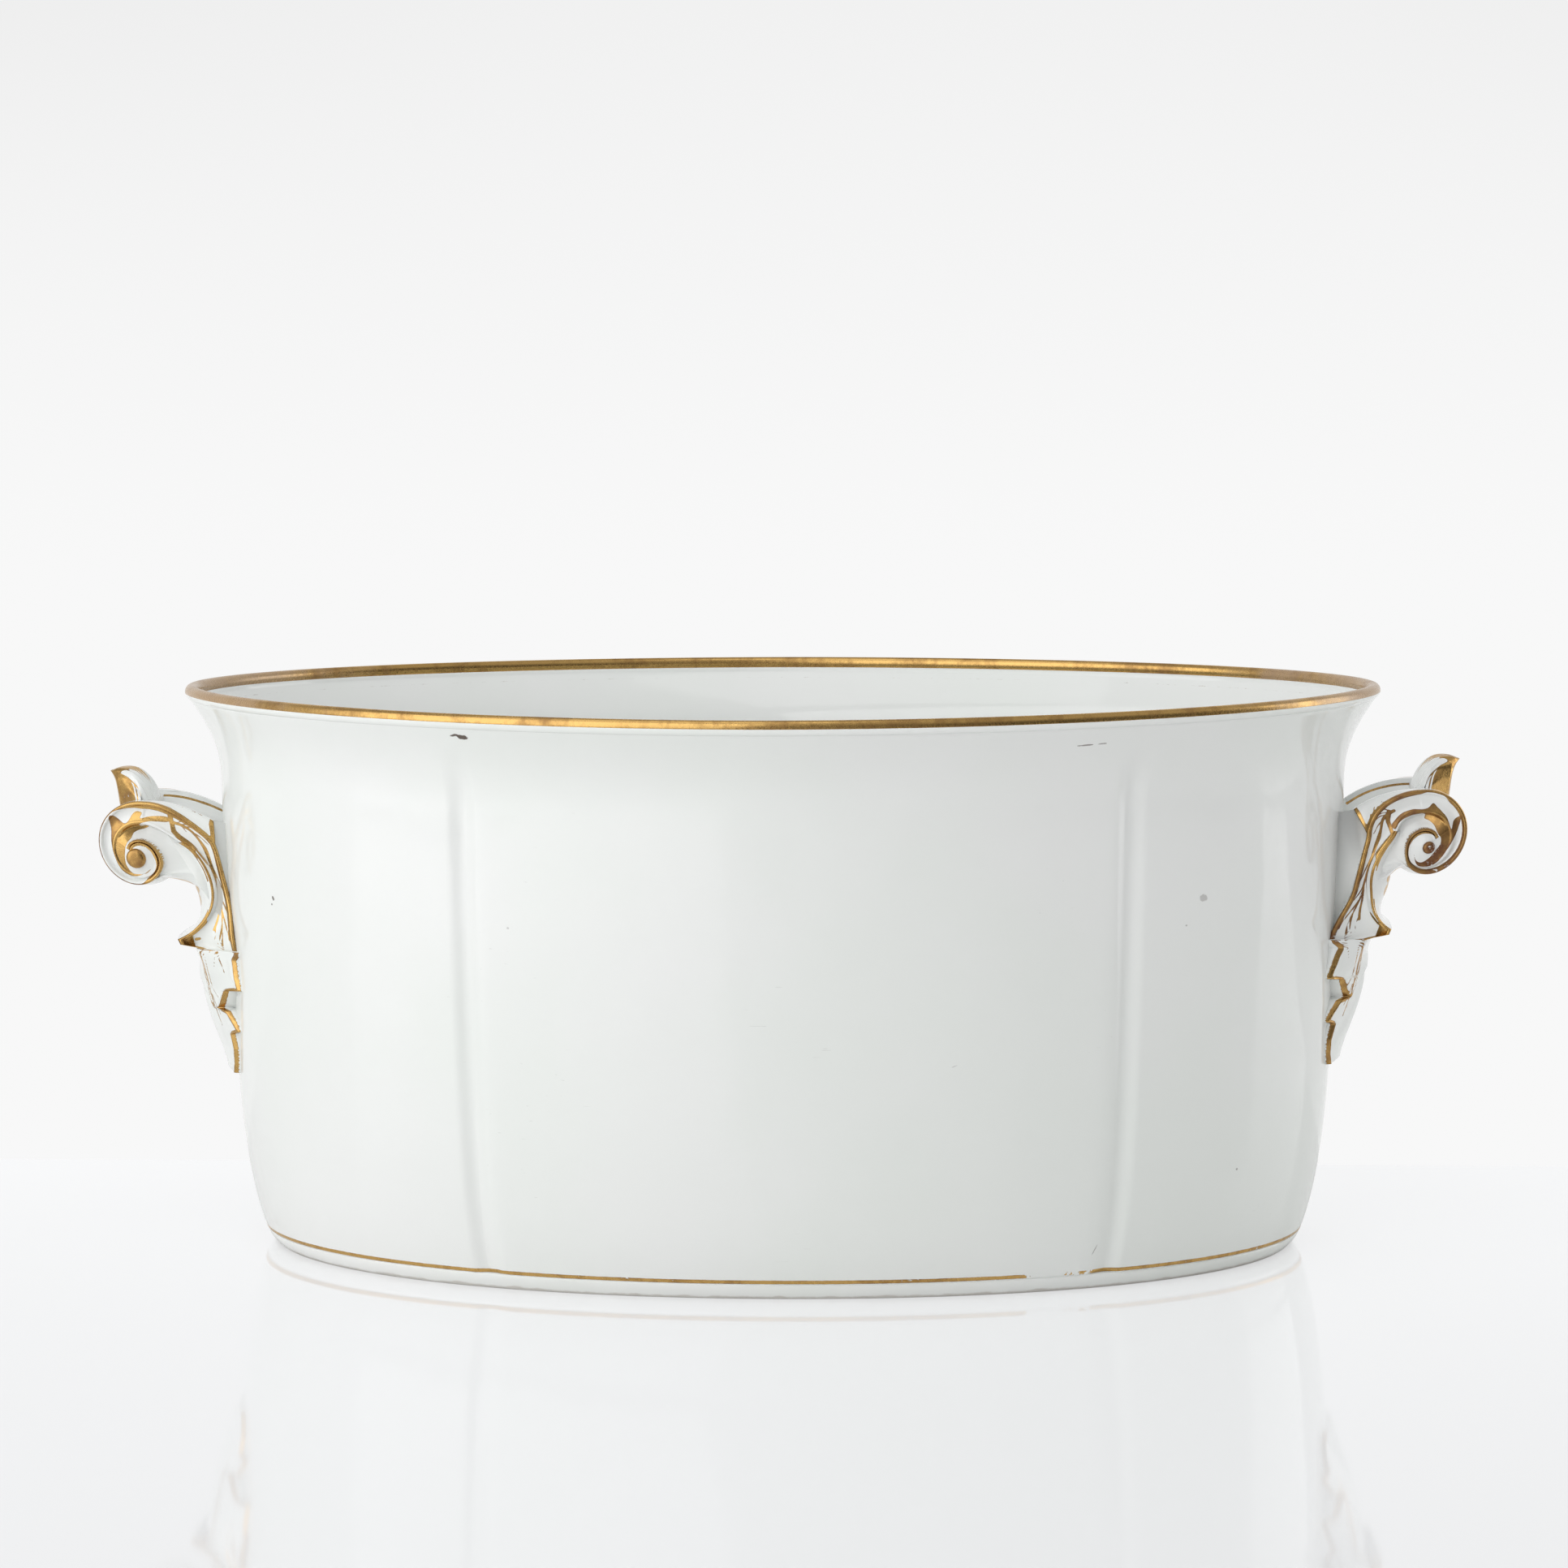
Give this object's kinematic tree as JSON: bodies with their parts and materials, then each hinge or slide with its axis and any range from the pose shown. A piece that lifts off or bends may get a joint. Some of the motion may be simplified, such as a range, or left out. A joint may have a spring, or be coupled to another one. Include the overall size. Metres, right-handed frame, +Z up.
{
  "type": "champagne cooler",
  "caption": "Oval white porcelain tub for cooling bottles, with a gilt rim roll, a scroll handle at each end over an acanthus leaf, and a low foot ring.",
  "frame": {"origin": "middle of the tub on the plane that the foot ring stands on", "axes": "+X along the tub from the left handle to the right one, +Y across it away from the viewer, +Z up"},
  "size_m": [0.4882, 0.2598, 0.2025],
  "materials": {
    "porcelain": "clear glossy glaze on slightly greenish grey-white hard-paste porcelain",
    "gilding": "burnished gold on the glaze, rubbed and browned with age",
    "biscuit": "bare ground porcelain edge, slightly soiled"
  },
  "bodies": {
    "root": {"foot_ring": "biscuit", "tub_floor": "porcelain", "tub_wall": "porcelain", "rim_roll": "gilding", "left_bracket": "porcelain", "left_front_scroll": "porcelain", "left_rear_scroll": "porcelain", "left_grip_roll": "porcelain", "left_thumb_leaf": "gilding", "left_acanthus_leaf": "porcelain", "right_bracket": "porcelain", "right_front_scroll": "porcelain", "right_rear_scroll": "porcelain", "right_grip_roll": "porcelain", "right_thumb_leaf": "gilding", "right_acanthus_leaf": "porcelain"}
  },
  "joints": []
}
